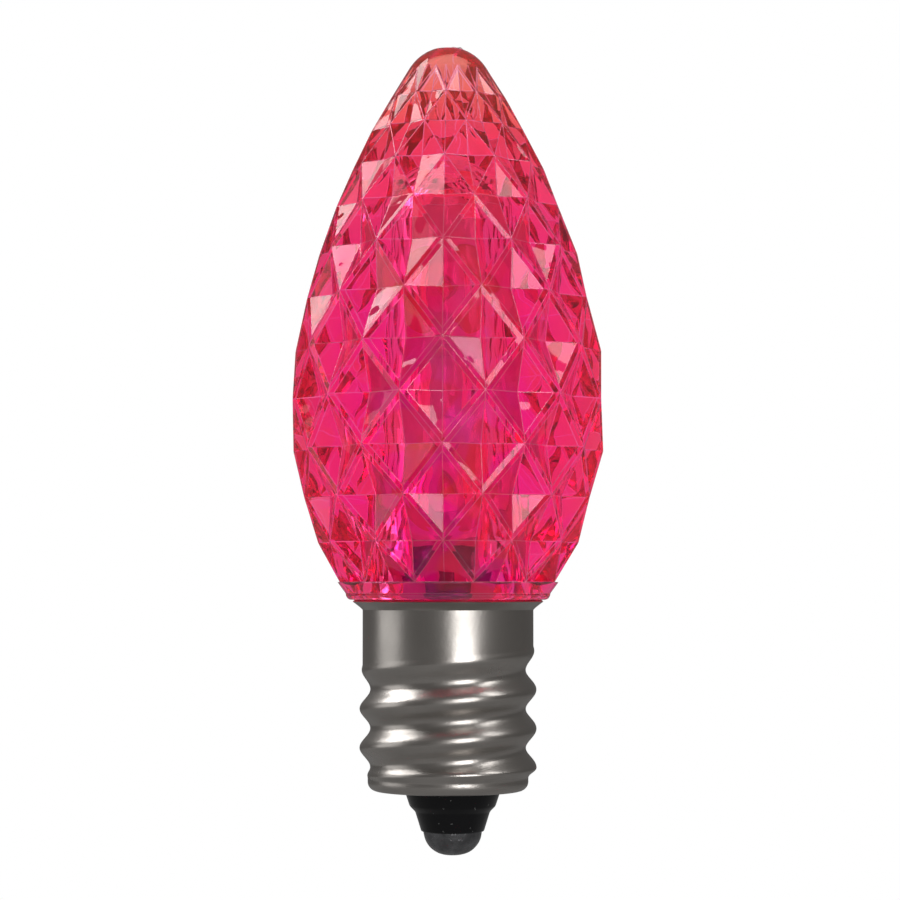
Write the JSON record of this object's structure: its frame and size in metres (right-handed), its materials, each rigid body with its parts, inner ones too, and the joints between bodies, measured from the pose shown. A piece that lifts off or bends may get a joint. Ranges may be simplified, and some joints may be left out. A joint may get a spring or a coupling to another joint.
{
  "type": "christmas light bulb",
  "caption": "Faceted teardrop LED bulb: a pink translucent moulded lens with diamond pits over a circuit board with light-emitting packages, on a small threaded screw base.",
  "frame": {"origin": "on the bulb's axis, at the lower edge of the base's plain collar, where the screw thread starts", "axes": "+Z along the axis towards the lens's tip, -Y towards the viewer of the picture, +X to the right"},
  "size_m": [0.0204, 0.0204, 0.0533],
  "materials": {
    "lens_plastic": "clear moulded plastic, dyed pink",
    "shell_metal": "satin nickel plate on rolled brass sheet",
    "insulator_black": "glossy black moulding",
    "eyelet_brass": "pressed",
    "solder": "dull grey solder with fine pits",
    "cement": "cured cement",
    "filling": "cast resin",
    "board": "white solder mask on glass fibre board",
    "led": "white package with a clear window",
    "component_black": "moulded package",
    "copper_wire": "tinned copper wire"
  },
  "bodies": {
    "root": {"lens": "lens_plastic", "neck_cement": "cement", "screw_shell": "shell_metal", "insulator": "insulator_black", "contact_eyelet": "eyelet_brass", "contact_solder": "solder", "base_filling": "filling", "circuit_board": "board", "led_front_lower": "led", "led_front_upper": "led", "led_back_lower": "led", "led_back_upper": "led", "bridge_rectifier": "component_black", "resistor_lower": "component_black", "resistor_upper": "component_black", "shell_lead": "copper_wire", "centre_lead": "copper_wire", "shell_solder": "solder", "board_solder": "solder"}
  },
  "joints": []
}
